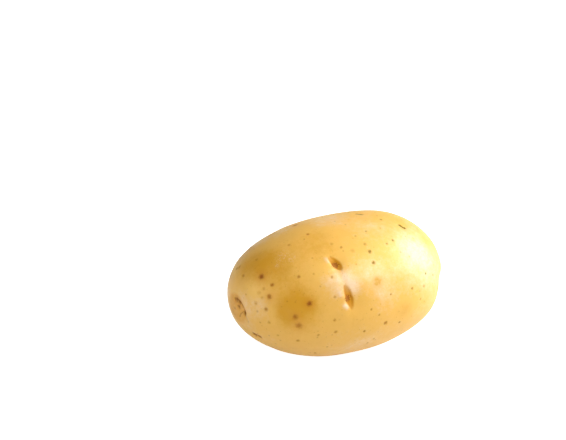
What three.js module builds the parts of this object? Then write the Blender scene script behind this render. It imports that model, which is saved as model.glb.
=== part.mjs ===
// A whole waxy yellow table potato, grown as one piece.
// Millimetres, +Z up. The tuber lies along X, with its bud end at +X and its stem scar at -X, and
// rests on a small flat spot of its belly at z = 0. The origin is the middle of its footprint.

import * as THREE from "three";
import { mergeVertices } from "three/addons/utils/BufferGeometryUtils.js";

// The tuber's overall size.
const LENGTH = 85;
const WIDTH = 56;
const HEIGHT = 53;

// How the tuber departs from an ellipsoid.
const END_FULLNESS = 2.2; // 2 gives an ellipsoid's ends, and more gives blunter ones
const BUD_END_SWELL = 0.075; // share by which the girth grows at the bud end and shrinks at the stem end
const SIDE_BOW = 2.2; // both ends bend this far towards +Y

// The flat spot on the belly that the tuber settles on.
const REST_SPOT_LENGTH = 18;
const REST_SPOT_ROLL = 0.9; // height over which the belly rolls over into the flat spot

// Each eye is a pit with its bud in it, under a brow on the side of the stem.
const EYE_PIT_LENGTH = 4.4; // along the tuber, from the brow to where the pit runs out
const BROW_OFFSET = 2.6; // from the middle of the pit back to the crest of the brow
const BROW_LENGTH = 3.2; // breadth of the brow along the tuber

// The sunken scar where the tuber hung on its stolon.
const STEM_SCAR = { fromBud: 168, around: 85, width: 13, depth: 1.1 };

// Places on the skin are a pair of angles in degrees: fromBud is counted from the bud end's tip,
// and around is the turn about the long axis, from the top and positive towards -Y.
// Eyes stand in a loose spiral and crowd together at the bud end.
const EYES = [
  { fromBud: 101, around: 42, width: 6.5, depth: 1.5, brow: 0.5 },
  { fromBud: 97, around: 70, width: 9.0, depth: 1.5, brow: 0.6 },
  { fromBud: 57, around: 15, width: 6.0, depth: 0.5, brow: 0.3 },
  { fromBud: 25, around: 99, width: 8.5, depth: 2.0, brow: 0.4 },
  { fromBud: 36, around: -62, width: 7.5, depth: 1.1, brow: 0.5 },
  { fromBud: 66, around: -58, width: 8.0, depth: 1.3, brow: 0.6 },
  { fromBud: 118, around: -84, width: 8.5, depth: 1.4, brow: 0.6 },
  { fromBud: 72, around: 168, width: 7.5, depth: 1.1, brow: 0.4 },
  { fromBud: 132, around: -158, width: 7.0, depth: 1.2, brow: 0.5 },
];

// Broad, gentle swells (rise above 0) and hollows (rise below 0), each with its reach over the skin.
const SWELLS = [
  { fromBud: 120, around: -38, reach: 13, rise: -0.5 },
  { fromBud: 157, around: -75, reach: 11, rise: -0.5 },
  { fromBud: 61, around: -24, reach: 9, rise: 0.5 },
  { fromBud: 33, around: -4, reach: 8, rise: -0.4 },
  { fromBud: 45, around: 127, reach: 11, rise: 0.7 },
  { fromBud: 62, around: -120, reach: 20, rise: 1.2 },
  { fromBud: 96, around: -70, reach: 15, rise: -1.1 },
  { fromBud: 140, around: -110, reach: 17, rise: 0.9 },
  { fromBud: 45, around: 150, reach: 15, rise: -0.9 },
  { fromBud: 100, around: 57, reach: 7, rise: 0.35 },
  { fromBud: 28, around: 102, reach: 8, rise: -0.8 },
];

const EDGE_CUTS = 23; // each edge of the starting icosahedron is cut this many times
const SKIN = { color: 0xe3b654, roughness: 0.45, metalness: 0 };

// The direction from the tuber's middle to a place on the skin.
function directionOf({ fromBud, around }) {
  const tip = THREE.MathUtils.degToRad(fromBud);
  const turn = THREE.MathUtils.degToRad(around);
  return new THREE.Vector3(
    Math.cos(tip),
    -Math.sin(tip) * Math.sin(turn),
    Math.sin(tip) * Math.cos(turn),
  );
}

// The plain tuber, without eyes, scar or swells: the point of its skin in a direction.
function plainSkin(direction) {
  const across = Math.hypot(direction.y, direction.z);
  const fullness = Math.abs(direction.x) ** END_FULLNESS + across ** END_FULLNESS;
  const reach = fullness ** (-1 / END_FULLNESS);
  const station = reach * direction.x; // -1 at the stem end, 1 at the bud end
  const girth = 1 + BUD_END_SWELL * station ** 3;
  return new THREE.Vector3(
    (LENGTH / 2) * station,
    (WIDTH / 2) * reach * direction.y * girth + SIDE_BOW * station ** 2,
    (HEIGHT / 2) * reach * direction.z * girth,
  );
}

// The plain skin's outward normal, from the skin a little way round in two directions.
function plainNormal(direction) {
  const step = 0.01;
  const helper = Math.abs(direction.x) < 0.9 ? new THREE.Vector3(1, 0, 0) : new THREE.Vector3(0, 0, 1);
  const sideways = new THREE.Vector3().crossVectors(helper, direction).normalize();
  const onwards = new THREE.Vector3().crossVectors(direction, sideways);
  const here = plainSkin(direction);
  const beside = plainSkin(direction.clone().addScaledVector(sideways, step).normalize()).sub(here);
  const beyond = plainSkin(direction.clone().addScaledVector(onwards, step).normalize()).sub(here);
  return beside.cross(beyond).normalize();
}

// A local frame on the skin, with one axis towards the bud end and one around the girth.
function siteAt(place) {
  const direction = directionOf(place);
  const normal = plainNormal(direction);
  const towardsBud = new THREE.Vector3(1, 0, 0).addScaledVector(normal, -normal.x).normalize();
  const aroundGirth = new THREE.Vector3().crossVectors(normal, towardsBud);
  return { ...place, origin: plainSkin(direction), towardsBud, aroundGirth };
}

// A smooth hill of height 1 that fades out with distance, counted in its own half-widths.
function hill(...distances) {
  return Math.exp(-distances.reduce((sum, d) => sum + d * d, 0));
}

const eyeSites = EYES.map(siteAt);
const swellSites = SWELLS.map(siteAt);
const scarSite = siteAt(STEM_SCAR);

// How far the skin stands out from the plain tuber at a point of it.
function relief(point) {
  let height = 0;
  for (const swell of swellSites) {
    height += swell.rise * hill(point.distanceTo(swell.origin) / swell.reach);
  }
  for (const eye of eyeSites) {
    const offset = point.clone().sub(eye.origin);
    const lengthwise = offset.dot(eye.towardsBud);
    const girthwise = offset.dot(eye.aroundGirth) / (eye.width / 2);
    const depthwise = offset.length() / eye.width;
    const pit = hill(lengthwise / (EYE_PIT_LENGTH / 2), girthwise);
    const brow = hill((lengthwise + BROW_OFFSET) / (BROW_LENGTH / 2), girthwise);
    height += (eye.brow * brow - eye.depth * pit) * (depthwise < 2 ? 1 : 0);
  }
  const fromScar = point.distanceTo(scarSite.origin) / (STEM_SCAR.width / 2);
  return height - STEM_SCAR.depth * hill(fromScar);
}

// The flat spot's height, set by how long it is along the belly.
const REST_HEIGHT = -(HEIGHT / 2) * Math.sqrt(1 - (REST_SPOT_LENGTH / LENGTH) ** 2);

// The belly below the flat spot's height becomes the spot, and rolls into it just above.
function settle(z) {
  const above = z - REST_HEIGHT;
  if (above <= 0) return REST_HEIGHT;
  if (above >= REST_SPOT_ROLL) return z;
  return REST_HEIGHT + (above ** 2 * (2 * REST_SPOT_ROLL - above)) / REST_SPOT_ROLL ** 2;
}

function potatoGeometry() {
  const ball = new THREE.IcosahedronGeometry(1, EDGE_CUTS);
  ball.deleteAttribute("normal");
  ball.deleteAttribute("uv");
  const skin = mergeVertices(ball, 1e-5);
  const positions = skin.getAttribute("position");
  const direction = new THREE.Vector3();
  for (let i = 0; i < positions.count; i++) {
    direction.fromBufferAttribute(positions, i).normalize();
    const plain = plainSkin(direction);
    const point = plain.clone().addScaledVector(plainNormal(direction), relief(plain));
    positions.setXYZ(i, point.x, point.y, settle(point.z));
  }
  skin.computeBoundingBox();
  const middle = skin.boundingBox.getCenter(new THREE.Vector3());
  skin.translate(-middle.x, -middle.y, -REST_HEIGHT);
  skin.computeVertexNormals();
  return skin;
}

const potato = new THREE.Mesh(potatoGeometry(), new THREE.MeshStandardMaterial(SKIN));
potato.name = "potato";

const part = new THREE.Group();
part.add(potato);

export default part;
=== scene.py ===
import math

import bpy
import numpy as np
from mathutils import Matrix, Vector
from mathutils.bvhtree import BVHTree


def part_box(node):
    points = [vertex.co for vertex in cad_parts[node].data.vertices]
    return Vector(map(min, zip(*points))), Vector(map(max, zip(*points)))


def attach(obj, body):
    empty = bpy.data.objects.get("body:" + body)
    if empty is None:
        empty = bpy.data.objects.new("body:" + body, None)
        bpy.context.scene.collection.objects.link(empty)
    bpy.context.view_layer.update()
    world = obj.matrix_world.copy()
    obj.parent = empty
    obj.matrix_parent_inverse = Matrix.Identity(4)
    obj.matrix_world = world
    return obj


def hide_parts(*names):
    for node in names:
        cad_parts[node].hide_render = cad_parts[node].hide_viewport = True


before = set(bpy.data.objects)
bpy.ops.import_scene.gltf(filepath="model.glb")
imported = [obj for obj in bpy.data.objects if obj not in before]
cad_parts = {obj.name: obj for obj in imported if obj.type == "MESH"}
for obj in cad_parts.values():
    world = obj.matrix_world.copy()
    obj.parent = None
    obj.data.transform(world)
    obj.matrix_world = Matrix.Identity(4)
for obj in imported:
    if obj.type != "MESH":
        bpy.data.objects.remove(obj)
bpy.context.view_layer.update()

# ---------------------------------------------------------------------------------------------
# The tuber's body. A potato swells underground as one solid piece, blunt at the bud end (+X) and
# at the stem end (-X), where it hung on its stolon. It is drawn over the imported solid, so it has
# that shape and size, and the relief of its skin is then raised and sunk in it.

MM = 0.001
SKIN_CELLS = 128          # cells along each edge of the cube that is pushed out to the skin
CROWDING = 0.55           # share by which the cells draw together at an eye and at the stem
CROWDING_REACH = 9.0      # in degrees
STEM_PLACE = (171, 95)
FAIRING_PASSES = 90

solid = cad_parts["potato"]
lowest, highest = (np.array(corner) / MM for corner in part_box("potato"))
middle = (lowest + highest) / 2
half_size = (highest - lowest) / 2

# The eyes: where each one's bud sits, how far its pit reaches above and below the bud and how deep
# it is, how high the brow behind it stands, in mm, and by how many degrees it leans to the stem
# end. A place on the skin is always two angles in degrees: from the bud end's tip, and around the
# length from the top, positive towards -Y.
EYES = [
    dict(place=(102.0, 41.7), above=4.2, below=3.2, depth=0.65, brow=0.0, lean=28),
    dict(place=(99.4, 70.0), above=5.3, below=4.8, depth=0.75, brow=0.0, lean=8),
    dict(place=(23, 102), above=4.4, below=4.0, depth=1.3, brow=0.35, lean=0),
    dict(place=(39, -65), above=3.8, below=3.6, depth=1.1, brow=0.35, lean=10),
    dict(place=(66, -59), above=4.2, below=3.8, depth=1.2, brow=0.40, lean=-6),
    dict(place=(118, -85), above=4.4, below=4.0, depth=1.3, brow=0.40, lean=5),
    dict(place=(72, 169), above=3.8, below=3.6, depth=1.0, brow=0.35, lean=0),
    dict(place=(133, -160), above=3.6, below=3.4, depth=1.1, brow=0.35, lean=-8),
]


def direction_of(place):
    """The way from the tuber's middle to a place on its skin, as on a ball."""
    tip, turn = math.radians(place[0]), math.radians(place[1])
    return np.array([
        math.cos(tip),
        -math.sin(tip) * math.sin(turn),
        math.sin(tip) * math.cos(turn),
    ])


def quad_ball(cells):
    """A cube's grid pushed out to a ball: its directions, its quads, and for every corner of
    every quad its place on a sheet of six patches, two across and three up."""
    sides = [  # the outward, rightward and upward axes of each side, and its patch on the sheet
        ((1, 0, 0), (0, 1, 0), (0, 0, 1), (0, 0)),
        ((-1, 0, 0), (0, -1, 0), (0, 0, 1), (1, 0)),
        ((0, -1, 0), (1, 0, 0), (0, 0, 1), (0, 1)),
        ((0, 1, 0), (-1, 0, 0), (0, 0, 1), (1, 1)),
        ((0, 0, 1), (1, 0, 0), (0, 1, 0), (0, 2)),
        ((0, 0, -1), (1, 0, 0), (0, -1, 0), (1, 2)),
    ]
    margin = 0.01
    steps = np.linspace(0, 1, cells + 1)
    across, up = np.meshgrid(steps, steps, indexing="ij")
    tilt_across = np.tan((across - 0.5) * math.pi / 2)[..., None]
    tilt_up = np.tan((up - 0.5) * math.pi / 2)[..., None]
    corner = np.arange((cells + 1) ** 2).reshape(cells + 1, cells + 1)
    side_quads = np.stack([corner[:-1, :-1], corner[1:, :-1], corner[1:, 1:], corner[:-1, 1:]], -1)
    points, places, quads = [], [], []
    for number, (outward, rightward, upward, patch) in enumerate(sides):
        grid = np.array(outward) + tilt_across * np.array(rightward) + tilt_up * np.array(upward)
        points.append(grid.reshape(-1, 3))
        sheet_across = (patch[0] + margin + across * (1 - 2 * margin)) / 2
        sheet_up = (patch[1] + margin + up * (1 - 2 * margin)) / 3
        places.append(np.stack([sheet_across, sheet_up], -1).reshape(-1, 2))
        quads.append(side_quads.reshape(-1, 4) + number * corner.size)
    points, places, quads = (np.concatenate(piece) for piece in (points, places, quads))
    points /= np.linalg.norm(points, axis=1, keepdims=True)
    _, first, merged = np.unique(np.round(points, 6), axis=0, return_index=True, return_inverse=True)
    return points[first], merged.reshape(-1)[quads], places[quads].reshape(-1, 2)


def crowded(directions, centre, share, reach):
    """The ball's directions, drawn together around one of them."""
    angle = np.degrees(np.arccos(np.clip(directions @ centre, -1, 1)))
    pull = (share * np.exp(-(angle / reach) ** 2))[:, None]
    drawn = directions * (1 - pull) + centre * pull
    return drawn / np.linalg.norm(drawn, axis=1, keepdims=True)


ball, quads, sheet = quad_ball(SKIN_CELLS)
for place in [eye["place"] for eye in EYES] + [STEM_PLACE]:
    ball = crowded(ball, direction_of(place), CROWDING, CROWDING_REACH)

edges = np.concatenate([quads[:, [k, (k + 1) % 4]] for k in range(4)])
edges = np.unique(np.sort(edges, axis=1), axis=0)
neighbours = np.bincount(edges.ravel(), minlength=len(ball))


def faired(values, passes):
    """Values on the skin's points, evened out with their neighbours'."""
    for _ in range(passes):
        total = np.bincount(edges[:, 0], values[edges[:, 1]], len(values))
        total += np.bincount(edges[:, 1], values[edges[:, 0]], len(values))
        values = (values + total / neighbours) / 2
    return values


def normals_of(points):
    """Outward normals at the skin's points."""
    a, b, c, d = (points[quads[:, k]] for k in range(4))
    facing = np.cross(c - a, d - b)
    normals = np.zeros_like(points)
    for k in range(4):
        for axis in range(3):
            normals[:, axis] += np.bincount(quads[:, k], facing[:, axis], len(points))
    return normals / np.linalg.norm(normals, axis=1, keepdims=True)


# Each direction is followed in to the solid's surface. How far out that is, as a share of a plain
# ellipsoid's radius, is faired so that no facet of the solid is left in the skin.
tree = BVHTree.FromObject(solid, bpy.context.evaluated_depsgraph_get())
rays = ball * half_size
shares = np.empty(len(rays))
for index, ray in enumerate(rays):
    hit = tree.ray_cast(Vector((middle + 2 * ray) * MM), Vector(-ray))[0]
    shares[index] = np.linalg.norm(np.array(hit) / MM - middle) / np.linalg.norm(ray)
body = middle + rays * faired(shares, FAIRING_PASSES)[:, None]
body_normals = normals_of(body)
relief = np.zeros(len(body))  # how far the skin stands out from the body, in mm


def site_of(place):
    """The point of the body at a place."""
    return body[int(np.argmax(ball @ direction_of(place)))]


def distance_from(place):
    """How far every point of the body is from a place, in mm."""
    return np.linalg.norm(body - site_of(place), axis=1)


def distance_from_line(places):
    """How far every point of the body is from a line through places, in mm."""
    sites = [site_of(place) for place in places]
    nearest = np.full(len(body), np.inf)
    for start, end in zip(sites, sites[1:]):
        reach = end - start
        share = np.clip((body - start) @ reach / (reach @ reach), 0, 1)
        nearest = np.minimum(nearest, np.linalg.norm(body - start - share[:, None] * reach, axis=1))
    return nearest


def smooth_step(low, high, values):
    """0 below low, 1 above high and an even curve between."""
    t = np.clip((values - low) / (high - low), 0, 1)
    return t * t * (3 - 2 * t)


def hill(distance, reach):
    """1 at no distance, fading to nothing past reach."""
    return np.exp(-(distance / reach) ** 2)


# Slight unevenness all over, as the tuber pushed through the soil.
rng = np.random.default_rng(11)
UNEVEN_SPOTS = 150
UNEVENNESS = 0.16         # mm up or down
for _ in range(UNEVEN_SPOTS):
    spot = (math.degrees(math.acos(rng.uniform(-1, 1))), rng.uniform(-180, 180))
    swelling = rng.uniform(-UNEVENNESS, UNEVENNESS)
    relief += swelling * hill(distance_from(spot), rng.uniform(3.0, 7.0))

# ---------------------------------------------------------------------------------------------
# The eyes. Each is a pit with its far wall, on the bud side, steep and its near one soft, with a
# dormant bud in it: a knot of small brown scales. The skin is thin and amber in the pit, and its
# near wall is darkened further with painted shade, as if the pit's shadow fell on it.

PIT_NEAR = -0.95      # mm from the bud to the pit's near and far edges, at the bud's own height
PIT_FAR = 2.2
PIT_TIPS = 0.4        # and to the pit's two tips
BROW_CREST = 0.6      # mm from the pit's near edge out to the brow's crest
EYE_REACH = 12.0      # mm around the bud, beyond which the eye leaves the skin as it is
BUD_RADIUS = 1.15
BUD_HEIGHT = 0.40
BUD_SHIFT = 0.15      # mm from the bud's place to the middle of its knot

pit_mask = np.zeros(len(body))
bud_mask = np.zeros(len(body))
pit_wall_shade_mask = np.zeros(len(body))

for eye in EYES:
    centre = int(np.argmax(ball @ direction_of(eye["place"])))
    normal = body_normals[centre]
    towards_bud = np.array([1.0, 0, 0]) - normal * normal[0]
    towards_bud /= np.linalg.norm(towards_bud)
    upwards = np.cross(normal, towards_bud)
    lean = math.radians(eye["lean"])
    offset = body - body[centre]
    u = offset @ (towards_bud * math.cos(lean) + upwards * math.sin(lean))
    v = offset @ (upwards * math.cos(lean) - towards_bud * math.sin(lean))
    near_eye = np.linalg.norm(offset, axis=1) < EYE_REACH
    t = np.clip(np.where(v > 0, v / eye["above"], -v / eye["below"]), 0, 1)
    swell = np.cos(math.pi / 2 * t)
    from_near = u - (PIT_TIPS + (PIT_NEAR - PIT_TIPS) * np.where(v > 0, swell ** 0.4, swell))
    from_far = PIT_TIPS + (PIT_FAR - PIT_TIPS) * np.where(v > 0, swell ** 0.45, swell ** 0.6) - u
    inside = smooth_step(-0.5, 1.5, from_near) * smooth_step(-0.1, 0.85, from_far) * near_eye
    pit = inside * np.where(v > 0, swell, swell ** 0.5)
    from_crest = from_near + BROW_CREST
    brow = np.where(from_crest < 0, hill(from_crest, 1.8), hill(from_crest, 0.7))
    brow *= hill(v - 0.4, 3.2) * near_eye
    radius = np.hypot(u - BUD_SHIFT, v) / BUD_RADIUS
    scales = 0.5 + 0.5 * np.cos(3 * np.arctan2(v, u - BUD_SHIFT) + 5 * radius)
    bud = np.exp(-radius ** 4) * near_eye
    relief += eye["brow"] * brow - eye["depth"] * pit + BUD_HEIGHT * bud * (1 - 0.5 * scales * radius)
    tint = smooth_step(-0.2, 0.5, from_near) * smooth_step(-0.35, 0.3, from_far) * near_eye
    pit_mask = np.maximum(pit_mask, tint * swell ** 0.5)
    # Painted shade: the near wall is darkened as if in the pit's shadow.
    near_wall_shade = tint * (1 - smooth_step(-0.2, 1.4, u))
    pit_wall_shade_mask = np.maximum(pit_wall_shade_mask, near_wall_shade)
    bud_mask = np.maximum(bud_mask, np.clip(1.25 - 0.55 * radius, 0, 1) * near_eye)

# The two front eyes share one fold of skin. Its bank on the stem side has a full lip at each eye's
# outer end, and a shallow groove runs between the eyes below it.
FOLDS = [  # the places each runs through, its half-width and its height in mm
    ([(105.5, 34.4), (104.7, 37.2)], 1.1, 0.22),
    ([(101.2, 75), (100.4, 77)], 1.0, 0.23),
    ([(102.8, 64.5), (102.6, 66)], 1.0, 0.10),
    ([(103.2, 49), (102.6, 52), (102.4, 54)], 1.2, 0.06),
    ([(100.6, 48), (100, 54), (99, 61)], 1.2, -0.10),
    ([(98.2, 51), (96.5, 56), (95.8, 60)], 1.4, 0.06),
]
# How far each lip stands out also sets its painted highlight.
lip_highlight_mask = np.zeros(len(body))
for places, half_width, height in FOLDS:
    fold = hill(distance_from_line(places), half_width)
    relief += height * fold
    lip_highlight_mask = np.maximum(lip_highlight_mask, max(height, 0) * fold)
# The skin swells above the eye at the bud end's edge, and draws in beside it.
EDGE_SWELLINGS = [  # the places each runs through, its reach and its height in mm
    ([(26, 58), (22, 72)], 3.0, 0.45),
    ([(31, 85), (33, 98)], 2.2, -0.40),
]
for places, reach, height in EDGE_SWELLINGS:
    relief += height * hill(distance_from_line(places), reach)

# ---------------------------------------------------------------------------------------------
# The stem scar, where the tuber broke off its stolon: a sunken patch of orange cork with a torn
# dark rim on one side, the stub's dimple in it and fine dry cracks across it.

SCAR_PLACE = (175, 135)
SCAR_RADIUS = 6.4
SCAR_DEPTH = 0.35
RIM_HEIGHT = 0.28     # mm that the skin curls up outside the torn rim

scar_distance = distance_from(SCAR_PLACE)
scar_mask = 1 - smooth_step(0.75 * SCAR_RADIUS, 1.1 * SCAR_RADIUS, scar_distance)
relief -= SCAR_DEPTH * scar_mask

CRACKS = [  # the places each runs through, its half-width and depth in mm, and its darkness
    ([(175.5, 20), (174, 34), (172, 55)], 0.75, 0.35, 0.80),
    ([(172, 55), (170, 71), (167, 83), (166, 94)], 0.40, 0.30, 0.75),
    ([(166, 94), (166, 96)], 0.60, 0.30, 1.0),
    ([(165.8, 103), (165.8, 106)], 0.60, 0.30, 1.0),
    ([(165.4, 104), (164, 109)], 0.42, 0.12, 0.60),
    ([(161.6, 114), (159.4, 121)], 0.40, 0.12, 0.50),
    ([(168, 99), (170, 129), (168, 148)], 0.28, 0.12, 0.62),
    ([(174.2, 96), (174, 99)], 0.60, 0.20, 0.72),
    ([(175, 170), (174, -170)], 0.45, 0.12, 0.60),
    # The others are dry slits elsewhere in the skin.
    ([(150.8, 141), (150, 139.3)], 0.68, 0.28, 1.0),
    ([(150, 139.3), (147.8, 136.2)], 0.48, 0.24, 0.85),
    ([(147.8, 136.2), (147, 135.3)], 0.62, 0.24, 0.95),
    ([(57.4, 8.4), (56, 10.3), (54.6, 12.2)], 0.42, 0.20, 1.0),
    ([(77, -10.3), (75, -8.5)], 0.50, 0.08, 0.80),
]
crack_near = np.zeros(len(body))
for places, half_width, depth, darkness in CRACKS:
    distance = distance_from_line(places)
    relief -= depth * hill(distance, 1.6 * half_width)
    crack_near = np.maximum(crack_near, darkness * (1 - distance / (3 * half_width)))
rim_distance = distance_from_line([(171, 38), (167.5, 62), (164.5, 83), (163, 104)])
relief += RIM_HEIGHT * hill(rim_distance, 1.0)

# ---------------------------------------------------------------------------------------------
# Lenticels, the pores that a tuber breathes through, and the rubs it got at lifting. The larger
# pores are slight corky pocks with a browned edge. The finest are left to the skin's material.

LENTICELS = [  # each one's place, radius in mm and darkness
    (119, 70, 0.75, 1.00), (143, 28, 0.85, 1.00), (138, 43, 0.62, 0.85), (142, 57, 0.75, 0.80),
    (146, 74, 0.62, 0.65), (128, 82, 0.80, 0.70), (126, 92, 0.95, 0.65), (82, 36, 0.62, 0.95),
    (82, 46, 0.58, 0.70), (83, 29, 0.55, 0.35), (91, 33, 0.70, 0.30), (96, 28, 0.45, 0.60),
    (100, 23, 0.50, 0.30), (108, 5, 0.50, 0.60), (120, 9, 0.50, 0.45), (86, 20, 0.45, 0.25),
    (79, 16, 0.45, 0.35), (67, 2, 0.50, 0.40), (67, 28, 0.50, 0.55), (71, 31, 0.45, 0.40),
    (50, 64, 0.40, 0.60), (53, 76, 0.45, 0.40), (62, 74, 0.45, 0.40), (76, 74, 0.35, 0.40),
    (79, 99, 0.60, 0.55), (70, 104, 0.38, 0.65), (83, 89, 0.40, 0.35), (87, 83, 0.40, 0.40),
    (91, 103, 0.42, 0.65), (84, 115, 0.40, 0.35), (87, 120, 0.38, 0.45), (107, 87, 0.50, 0.55),
    (106, 99, 0.55, 0.55), (115, 102, 0.45, 0.40), (125, 112, 0.55, 0.50), (109, 118, 0.38, 0.45),
    (113, 131, 0.50, 0.55), (122, 44, 0.50, 0.55), (105, 51, 0.50, 0.50), (106, 67, 0.42, 0.45),
    (144, 94, 0.50, 0.40), (137, 111, 0.42, 0.35), (154, 5, 0.60, 0.45), (153, 64, 0.55, 0.35),
    (144, 44, 0.50, 0.30), (153, 79, 0.40, 0.35), (147, 56, 0.45, 0.20), (140, 2, 0.50, 0.25),
    (151, -19, 0.60, 0.35), (65, 40, 0.40, 0.25), (60, 45, 0.35, 0.25), (43, 68, 0.40, 0.35),
    (56, 88, 0.40, 0.25), (114, 45, 0.40, 0.25), (112, 31, 0.35, 0.30), (148, 48, 0.60, 0.15),
]
HIDDEN_LENTICELS = 75
HIDDEN_SIDE = (152, 342)      # in degrees around the length
HALO_RADIUS = 0.7             # only larger pores are flushed around, in mm
SMALL_PORE_DARKENING = 1.3    # smaller ones are darker by this factor
BUD_HALF_DARKENING = 1.7      # and by this one on the bud half, against the strong key light there
BUD_HALF = 88                 # in degrees from the bud end's tip
PORE_RIM = 0.05               # how high a pore's rim stands and how deep its middle is, in mm
PORE_DEPTH = 0.10
PORE_EDGE = 2.5               # where a pore's colour ends, in its own radii
for _ in range(HIDDEN_LENTICELS):
    spot = (math.degrees(math.acos(rng.uniform(-0.95, 0.95))), rng.uniform(*HIDDEN_SIDE))
    LENTICELS.append((*spot, rng.uniform(0.35, 0.9), rng.uniform(0.3, 0.9)))

lenticel_near = np.zeros(len(body))
lenticel_dark = np.zeros(len(body))
halo = np.zeros(len(body))
for from_tip, around, radius, darkness in LENTICELS:
    if radius < HALO_RADIUS:
        darkening = BUD_HALF_DARKENING if from_tip < BUD_HALF else SMALL_PORE_DARKENING
        darkness = min(1.0, darkness * darkening)
    distance = distance_from((from_tip, around))
    relief += PORE_RIM * hill(distance, 1.8 * radius) - PORE_DEPTH * hill(distance, 0.8 * radius)
    lenticel_near = np.maximum(lenticel_near, 1 - distance / (PORE_EDGE * radius))
    lenticel_dark = np.where(distance < PORE_EDGE * radius, darkness, lenticel_dark)
    if radius > HALO_RADIUS:
        halo = np.maximum(halo, darkness * hill(distance, 2.6 * radius))

SCUFFS = [  # the rubs: place and reach in mm
    ((125.5, 18), 2.6), ((122, 24), 1.8), ((131, 24), 1.1), ((70, -95), 3.0), ((110, 170), 2.5),
]
scuff = np.zeros(len(body))
for place, reach in SCUFFS:
    scuff = np.maximum(scuff, hill(distance_from(place), reach))

FLUSHES = [  # faint reddish bruises: place, reach in mm and strength
    ((82, 61), 1.9, 2.5), ((142, 60), 3.5, 0.5), ((142, 30), 3.0, 0.35),
    ((128, 90), 3.5, 0.35), ((67, 92), 2.4, 0.7), ((100, -120), 3.0, 0.6), ((60, 150), 3.5, 0.5),
    ((150, -60), 4.0, 0.5),
]
flush = np.zeros(len(body))
for place, reach, strength in FLUSHES:
    flush = np.maximum(flush, strength * hill(distance_from(place), reach))

# Paler and deeper fields of the skin: place, reach in mm, and how much paler.
FIELDS = [
    ((167, 50), 3.0, 0.25), ((162, 84), 3.0, 0.15), ((145, -5), 7.0, -0.55), ((138, 8), 6.0, -0.22),
    ((67, 92), 4.0, -0.35),
    ((148, 64), 6.5, 0.50), ((153, 108), 6.0, 0.12), ((124, 72), 8.0, -0.90), ((134, 78), 5.5, -0.60),
    ((134, 24), 9.0, -0.60), ((107, 15), 8.5, -0.38), ((98, 56), 5.5, 0.38), ((108, 57), 7.5, 0.42),
    ((95, 64), 3.5, 0.30), ((84, 52), 6.0, 0.35), ((78, 72), 7.0, 0.30), ((62, 42), 11.0, 0.45),
    ((128, -25), 9.0, 0.30), ((88, 120), 9.0, 0.12), ((94, -12), 9.0, 0.45), ((104, 103), 6.0, 0.15),
    # Painted highlight: the bud end made paler where the key light falls on it.
    ((45, 55), 15.0, 0.25), ((30, -40), 15.0, 0.30), ((15, -90), 16.0, 0.45),
]
BACK_FIELDS = 16
BACK_SIDE = (150, 320)    # in degrees around the length
EVEN_PALENESS = 0.5
# Painted highlight on the lips, as paleness for each mm that a lip stands out.
LIP_PAINTED_HIGHLIGHT = 1.5        # for each mm that a lip stands out
for _ in range(BACK_FIELDS):
    spot = (math.degrees(math.acos(rng.uniform(-1, 1))), rng.uniform(*BACK_SIDE))
    FIELDS.append((spot, rng.uniform(6, 11), rng.uniform(-0.6, 0.6)))
paleness_and_highlight = EVEN_PALENESS + LIP_PAINTED_HIGHLIGHT * lip_highlight_mask
for place, reach, amount in FIELDS:
    paleness_and_highlight += 0.5 * amount * hill(distance_from(place), reach)

# ---------------------------------------------------------------------------------------------
# The finished skin: a thin waxy periderm, washed and dry, grown over the tuber's body. Where it
# rests it stays flat, and nothing of it stands out below that.

FLAT_MARGIN = 0.02        # mm above the lowest point that still count as the flat spot

points = body + body_normals * relief[:, None]
on_flat = body[:, 2] < lowest[2] + FLAT_MARGIN
points[:, 2] = np.where(on_flat, lowest[2], np.maximum(points[:, 2], lowest[2]))

mesh = bpy.data.meshes.new("potato_skin")
mesh.from_pydata((points * MM).tolist(), [], quads.tolist())
mesh.polygons.foreach_set("use_smooth", np.ones(len(quads), bool))
mesh.uv_layers.new(name="OFBake").data.foreach_set("uv", sheet.astype(np.float32).ravel())

MASKS = dict(
    pit=pit_mask, wall=pit_wall_shade_mask, bud=bud_mask, scar=scar_mask, crack=np.clip(crack_near, 0, 1),
    lenticel=np.clip(lenticel_near, 0, 1), darkness=lenticel_dark, halo=halo, scuff=scuff,
    flush=flush, paleness_and_highlight=np.clip(paleness_and_highlight, 0, 1),
)
for name, values in MASKS.items():
    mesh.attributes.new(name, "FLOAT", "POINT").data.foreach_set("value", values.astype(np.float32))

potato = bpy.data.objects.new("potato_skin", mesh)
bpy.context.scene.collection.objects.link(potato)

DEEP_AMBER = (0.65, 0.31, 0.018, 1)
GOLDEN = (0.81, 0.455, 0.095, 1)
CREAM = (0.87, 0.64, 0.43, 1)
PIT_AMBER = (0.70, 0.29, 0.003, 1)
# The painted shade on each pit's near wall.
PIT_WALL_PAINTED_SHADE = (0.42, 0.155, 0.002, 1)
BUD_BROWN = (0.29, 0.075, 0.001, 1)
BUD_TIP = (0.62, 0.28, 0.03, 1)
CORK = (0.70, 0.32, 0.05, 1)
REDDISH = (0.65, 0.345, 0.07, 1)
SCUFF_TAN = (0.86, 0.60, 0.36, 1)
PORE_SHADE = (0.46, 0.27, 0.01, 1)        # what the skin's colour is multiplied by in a pore
KEY_LIT_PORE_SHADE = (0.22, 0.32, 0.12, 1)   # and in one high on the bud end, a lit copy for where the key light is strongest
CRACK_SHADE = (0.40, 0.24, 0.01, 1)
KEY_LIT_CRACK_SHADE = (0.24, 0.28, 0.02, 1)
HALO_SHADE = (0.92, 0.78, 0.62, 1)
KEY_LIT_REACH = (38, 62)      # mm along and up together, between which the marks change to their lit copies

skin = bpy.data.materials.new("potato_skin")
skin.use_nodes = True
nodes, links = skin.node_tree.nodes, skin.node_tree.links
shader = nodes["Principled BSDF"]


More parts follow.
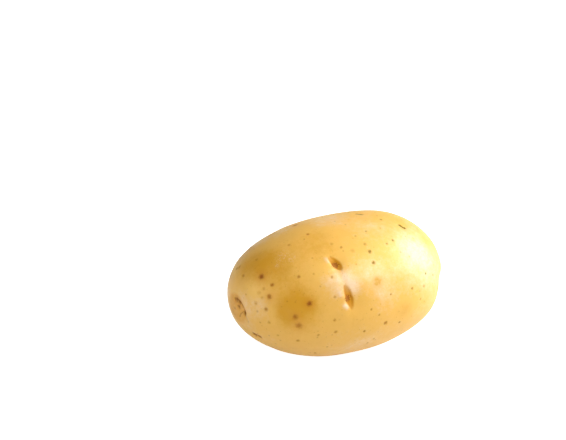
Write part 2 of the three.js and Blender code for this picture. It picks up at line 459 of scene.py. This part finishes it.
def feed(socket, value):
    """Gives a socket a value, or the output of another node."""
    if isinstance(value, bpy.types.NodeSocket):
        links.new(value, socket)
    else:
        socket.default_value = value


def mask(name):
    """One of the masks painted on the mesh."""
    made = nodes.new("ShaderNodeAttribute")
    made.attribute_name = name
    return made.outputs["Fac"]


def reckon(operation, *values):
    """The result of a sum on values and outputs."""
    made = nodes.new("ShaderNodeMath")
    made.operation = operation
    for socket, value in zip(made.inputs, values):
        feed(socket, value)
    return made.outputs[0]


def added(value, part, amount):
    """A value with an amount of another added to it."""
    return reckon("ADD", value, reckon("MULTIPLY", part, amount))


def swayed(value, clouds, amount):
    """A value swayed up and down by noise."""
    return added(value, reckon("SUBTRACT", clouds, 0.5), amount)


def between(value, low, high, start=0.0, end=1.0):
    """Smoothly from start to end as a value goes from low to high."""
    made = nodes.new("ShaderNodeMapRange")
    made.interpolation_type = "SMOOTHSTEP"
    names = ("Value", "From Min", "From Max", "To Min", "To Max")
    for name, number in zip(names, (value, low, high, start, end)):
        feed(made.inputs[name], number)
    return made.outputs["Result"]


def painted_over(under, share, over, method="MIX"):
    """One colour painted over another."""
    made = nodes.new("ShaderNodeMix")
    made.data_type = "RGBA"
    made.blend_type = method
    feed(made.inputs["Factor"], share)
    feed(made.inputs["A"], under)
    feed(made.inputs["B"], over)
    return made.outputs["Result"]


skin_places = nodes.new("ShaderNodeVectorMath")
skin_places.operation = "SCALE"
links.new(nodes.new("ShaderNodeTexCoord").outputs["Object"], skin_places.inputs[0])
skin_places.inputs["Scale"].default_value = 1 / MM


def noise(size, detail=2.0, distortion=0.0, offset=0.0):
    """Cloudy noise from 0 to 1 with patches about size mm across."""
    made = nodes.new("ShaderNodeTexNoise")
    made.noise_dimensions = "4D"
    feed(made.inputs["Vector"], skin_places.outputs[0])
    made.inputs["W"].default_value = offset
    made.inputs["Scale"].default_value = 1 / size
    made.inputs["Detail"].default_value = detail
    made.inputs["Distortion"].default_value = distortion
    return made.outputs["Fac"]


def pores(spacing, radius, offset):
    """Dots of up to radius mm, in cells about spacing mm apart: a mask of the pores, and their
    random strengths."""
    shifted = nodes.new("ShaderNodeVectorMath")
    shifted.operation = "ADD"
    links.new(skin_places.outputs[0], shifted.inputs[0])
    shifted.inputs[1].default_value = (offset, offset, offset)
    made = nodes.new("ShaderNodeTexVoronoi")
    feed(made.inputs["Vector"], shifted.outputs[0])
    made.inputs["Scale"].default_value = 1 / spacing
    strength = nodes.new("ShaderNodeSeparateColor")
    links.new(made.outputs["Color"], strength.inputs[0])
    ragged_distance = swayed(made.outputs["Distance"], noise(0.7), 0.12)
    dot = between(ragged_distance, 0.35 * radius / spacing, radius / spacing, 1.0, 0.0)
    return reckon("MULTIPLY", dot, between(strength.outputs[0], 0.3, 0.8))


grain = noise(0.55, detail=3.0)
fine = noise(1.6, detail=3.0)
cloud = noise(7.0, detail=3.0, distortion=0.6)
field = noise(24.0, detail=2.0, distortion=0.4, offset=3.0)

# Colour: golden, drifting between deep amber and cream, with a fine mottle. Its pale end also
# carries the painted highlights on the lips and at the bud end.
tone = mask("paleness_and_highlight")
for clouds, drift in ((field, 0.40), (cloud, 0.30), (fine, 0.26), (grain, 0.20)):
    tone = swayed(tone, clouds, drift)
tones = nodes.new("ShaderNodeValToRGB")
tones.color_ramp.interpolation = "EASE"
tones.color_ramp.elements[0].position = 0.05
tones.color_ramp.elements[0].color = DEEP_AMBER
tones.color_ramp.elements[1].position = 0.95
tones.color_ramp.elements[1].color = CREAM
tones.color_ramp.elements.new(0.5).color = GOLDEN
feed(tones.inputs["Fac"], tone)
colour = tones.outputs["Color"]
blush = noise(5.0, detail=3.0, distortion=0.5, offset=9.0)
blush = between(blush, 0.45, 0.75, end=0.15)
colour = painted_over(colour, blush, REDDISH)
bruise = reckon("MULTIPLY", mask("flush"), between(fine, 0.35, 0.65, start=0.25, end=0.65))
colour = painted_over(colour, bruise, REDDISH)
colour = painted_over(colour, mask("halo"), HALO_SHADE, "MULTIPLY")

# Its marks: the pores, the rubs, the eyes and the scar, in the order they are laid on.
TINY_PORE_SHARE = 0.32    # how fully each mark's colour covers what is under it
SMALL_PORE_SHARE = 0.42
SCUFF_SHARE = 0.42
PIT_SHARE = 0.92
WALL_SHADE_SHARE = 0.80
BUD_SHARE = 0.90
MARK_FADE = (0.22, 0.90)  # where a mark's ragged edge starts, and where its colour is full

ragged = noise(0.8, detail=3.0)
along = nodes.new("ShaderNodeSeparateXYZ")
links.new(skin_places.outputs[0], along.inputs[0])
# Marks high on the bud end take lit copies of their colours, painted for the strong key light there.
key_lit_share = between(reckon("ADD", along.outputs["X"], along.outputs["Z"]), *KEY_LIT_REACH)
pore_shade = painted_over(PORE_SHADE, key_lit_share, KEY_LIT_PORE_SHADE)
crack_shade = painted_over(CRACK_SHADE, key_lit_share, KEY_LIT_CRACK_SHADE)
lenticel = between(swayed(mask("lenticel"), ragged, 0.7), *MARK_FADE)
crack = between(swayed(mask("crack"), ragged, 1.0), *MARK_FADE)
small_pores = pores(spacing=3.0, radius=0.55, offset=0.0)
tiny_pores = pores(spacing=1.4, radius=0.28, offset=40.0)

colour = painted_over(colour, reckon("MULTIPLY", tiny_pores, TINY_PORE_SHARE), pore_shade, "MULTIPLY")
colour = painted_over(colour, reckon("MULTIPLY", small_pores, SMALL_PORE_SHARE), pore_shade, "MULTIPLY")
colour = painted_over(colour, reckon("MULTIPLY", lenticel, mask("darkness")), pore_shade, "MULTIPLY")
flakes = between(noise(0.42, detail=1.0, offset=5.0), 0.50, 0.62)
flakes = reckon("MULTIPLY", flakes, mask("scuff"))
colour = painted_over(colour, reckon("MULTIPLY", flakes, SCUFF_SHARE), SCUFF_TAN)
colour = painted_over(colour, reckon("MULTIPLY", mask("pit"), PIT_SHARE), PIT_AMBER)
# Painted shade on the pits' near walls.
colour = painted_over(colour, reckon("MULTIPLY", mask("wall"), WALL_SHADE_SHARE), PIT_WALL_PAINTED_SHADE)
scaly = between(swayed(mask("bud"), noise(0.45, detail=1.0), 1.3), 0.5, 0.85)
colour = painted_over(colour, between(mask("bud"), 0.5, 0.9, end=0.5), BUD_TIP)
colour = painted_over(colour, reckon("MULTIPLY", scaly, BUD_SHARE), BUD_BROWN)
cork_share = reckon("MULTIPLY", mask("scar"), between(cloud, 0.3, 0.7, start=0.6, end=0.95))
colour = painted_over(colour, cork_share, CORK)
colour = painted_over(colour, crack, crack_shade, "MULTIPLY")
feed(shader.inputs["Base Color"], colour)

# Gloss: a satin wax, duller on cork, in the pits and where the skin is rubbed.
WAX_ROUGHNESS = 0.36
roughness = added(WAX_ROUGHNESS, cloud, 0.16)
roughness = added(roughness, reckon("MAXIMUM", mask("scar"), lenticel), 0.30)
roughness = added(roughness, mask("pit"), 0.35)
roughness = added(roughness, mask("scuff"), 0.15)
feed(shader.inputs["Roughness"], roughness)
shader.inputs["Specular IOR Level"].default_value = 0.60
shader.inputs["Specular Tint"].default_value = (1, 0.90, 0.40, 1)
shader.inputs["Sheen Weight"].default_value = 0.12
shader.inputs["Sheen Tint"].default_value = (1, 0.88, 0.50, 1)
shader.inputs["Sheen Roughness"].default_value = 0.5
shader.inputs["Subsurface Weight"].default_value = 0.12
shader.inputs["Subsurface Radius"].default_value = (1.0, 0.45, 0.12)
shader.inputs["Subsurface Scale"].default_value = 0.003

# Bump: how high the skin's grain and its dry cork stand, and how deep its pores and cracks are,
# in mm.
cork_crumbs = reckon("MULTIPLY", mask("scar"), noise(0.9, detail=4.0, offset=7.0))
height = reckon("MULTIPLY", grain, 0.010)
height = added(height, fine, 0.028)
height = added(height, cloud, 0.10)
height = added(height, small_pores, -0.03)
height = added(height, lenticel, -0.06)
height = added(height, cork_crumbs, 0.30)
height = added(height, crack, -0.15)
bump = nodes.new("ShaderNodeBump")
bump.inputs["Distance"].default_value = MM
feed(bump.inputs["Height"], height)
feed(shader.inputs["Normal"], bump.outputs["Normal"])
mesh.materials.append(skin)

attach(potato, "root")
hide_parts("potato")

# ---------------------------------------------------------------------------------------------
# The table it rests on: a wide white sheet, lit from below so that shadows on it stay faint. The
# camera sees it glow almost white, and it throws only a little of that light on the potato.

TABLE_RADIUS = 4.0
TABLE_LIGHT = 0.16
TABLE_SEEN = 0.92
bpy.ops.mesh.primitive_circle_add(vertices=96, radius=TABLE_RADIUS, fill_type="NGON", location=(0, 0, 0))
table = bpy.context.object
table.name = "table_top"
table_sheet = bpy.data.materials.new("table_top")
table_sheet.use_nodes = True
sheet_shader = table_sheet.node_tree.nodes["Principled BSDF"]
sheet_shader.inputs["Base Color"].default_value = (0.66, 0.66, 0.66, 1)
sheet_shader.inputs["Roughness"].default_value = 0.8
sheet_shader.inputs["Emission Color"].default_value = (1, 1, 1, 1)
sheet_seen = table_sheet.node_tree.nodes.new("ShaderNodeLightPath")
sheet_glow = table_sheet.node_tree.nodes.new("ShaderNodeMapRange")
sheet_glow.inputs["To Min"].default_value = TABLE_LIGHT
sheet_glow.inputs["To Max"].default_value = TABLE_SEEN
table_sheet.node_tree.links.new(sheet_seen.outputs["Is Camera Ray"], sheet_glow.inputs["Value"])
table_sheet.node_tree.links.new(sheet_glow.outputs["Result"], sheet_shader.inputs["Emission Strength"])
table.data.materials.append(table_sheet)

# ---------------------------------------------------------------------------------------------
# The studio: one large soft box beyond the bud end and three weaker ones at the front, the top
# and the stem end, in a room that looks white but gives little light.

ROOM_LIGHT = 0.10
ROOM_SEEN = 1.0

world = bpy.data.worlds.new("studio")
world.use_nodes = True
room = world.node_tree.nodes["Background"]
seen = world.node_tree.nodes.new("ShaderNodeLightPath")
room_light = world.node_tree.nodes.new("ShaderNodeMapRange")
room_light.inputs["To Min"].default_value = ROOM_LIGHT
room_light.inputs["To Max"].default_value = ROOM_SEEN
world.node_tree.links.new(seen.outputs["Is Camera Ray"], room_light.inputs["Value"])
world.node_tree.links.new(room_light.outputs["Result"], room.inputs["Strength"])
room.inputs["Color"].default_value = (1, 1, 1, 1)
bpy.context.scene.world = world
bpy.context.scene.view_settings.view_transform = "Standard"


def soft_box(name, turn, rise, width, height, power):
    """A soft light 1 m from the potato, turned from +X towards +Y and raised, in degrees."""
    turn, rise = math.radians(turn), math.radians(rise)
    away = Vector((math.cos(turn) * math.cos(rise), math.sin(turn) * math.cos(rise), math.sin(rise)))
    light = bpy.data.lights.new(name, "AREA")
    light.shape = "RECTANGLE"
    light.size, light.size_y = width, height
    light.energy = power
    lamp = bpy.data.objects.new(name, light)
    lamp.location = Vector(middle * MM) + away
    lamp.rotation_euler = (-away).to_track_quat("-Z", "Y").to_euler()
    bpy.context.scene.collection.objects.link(lamp)


soft_box("key_light", turn=0, rise=27, width=0.5, height=0.85, power=13.5)
soft_box("front_light", turn=-45, rise=40, width=0.5, height=0.5, power=5.5)
soft_box("top_light", turn=-90, rise=58, width=0.6, height=0.6, power=3)
soft_box("left_light", turn=180, rise=14, width=0.5, height=0.5, power=3.5)

CAMERA_TURN = 21.0       # degrees from looking along +Y, and down from level
CAMERA_RISE = 28.0
CAMERA_DISTANCE = 0.650
CAMERA_ASIDE = -0.0208   # the aim's offset from the tuber's middle, rightward and upward
CAMERA_ABOVE = 0.0241
CAMERA_LENS = 107.9

turn, rise = math.radians(CAMERA_TURN), math.radians(CAMERA_RISE)
looking = Vector((math.sin(turn) * math.cos(rise), math.cos(turn) * math.cos(rise), -math.sin(rise)))
rightward = Vector((math.cos(turn), -math.sin(turn), 0))
upward = rightward.cross(looking)
aim = Vector(middle * MM) + rightward * CAMERA_ASIDE + upward * CAMERA_ABOVE
camera = bpy.data.objects.new("camera", bpy.data.cameras.new("camera"))
camera.data.lens = CAMERA_LENS
camera.location = aim - looking * CAMERA_DISTANCE
camera.rotation_euler = looking.to_track_quat("-Z", "Y").to_euler()
bpy.context.scene.collection.objects.link(camera)
bpy.context.scene.camera = camera
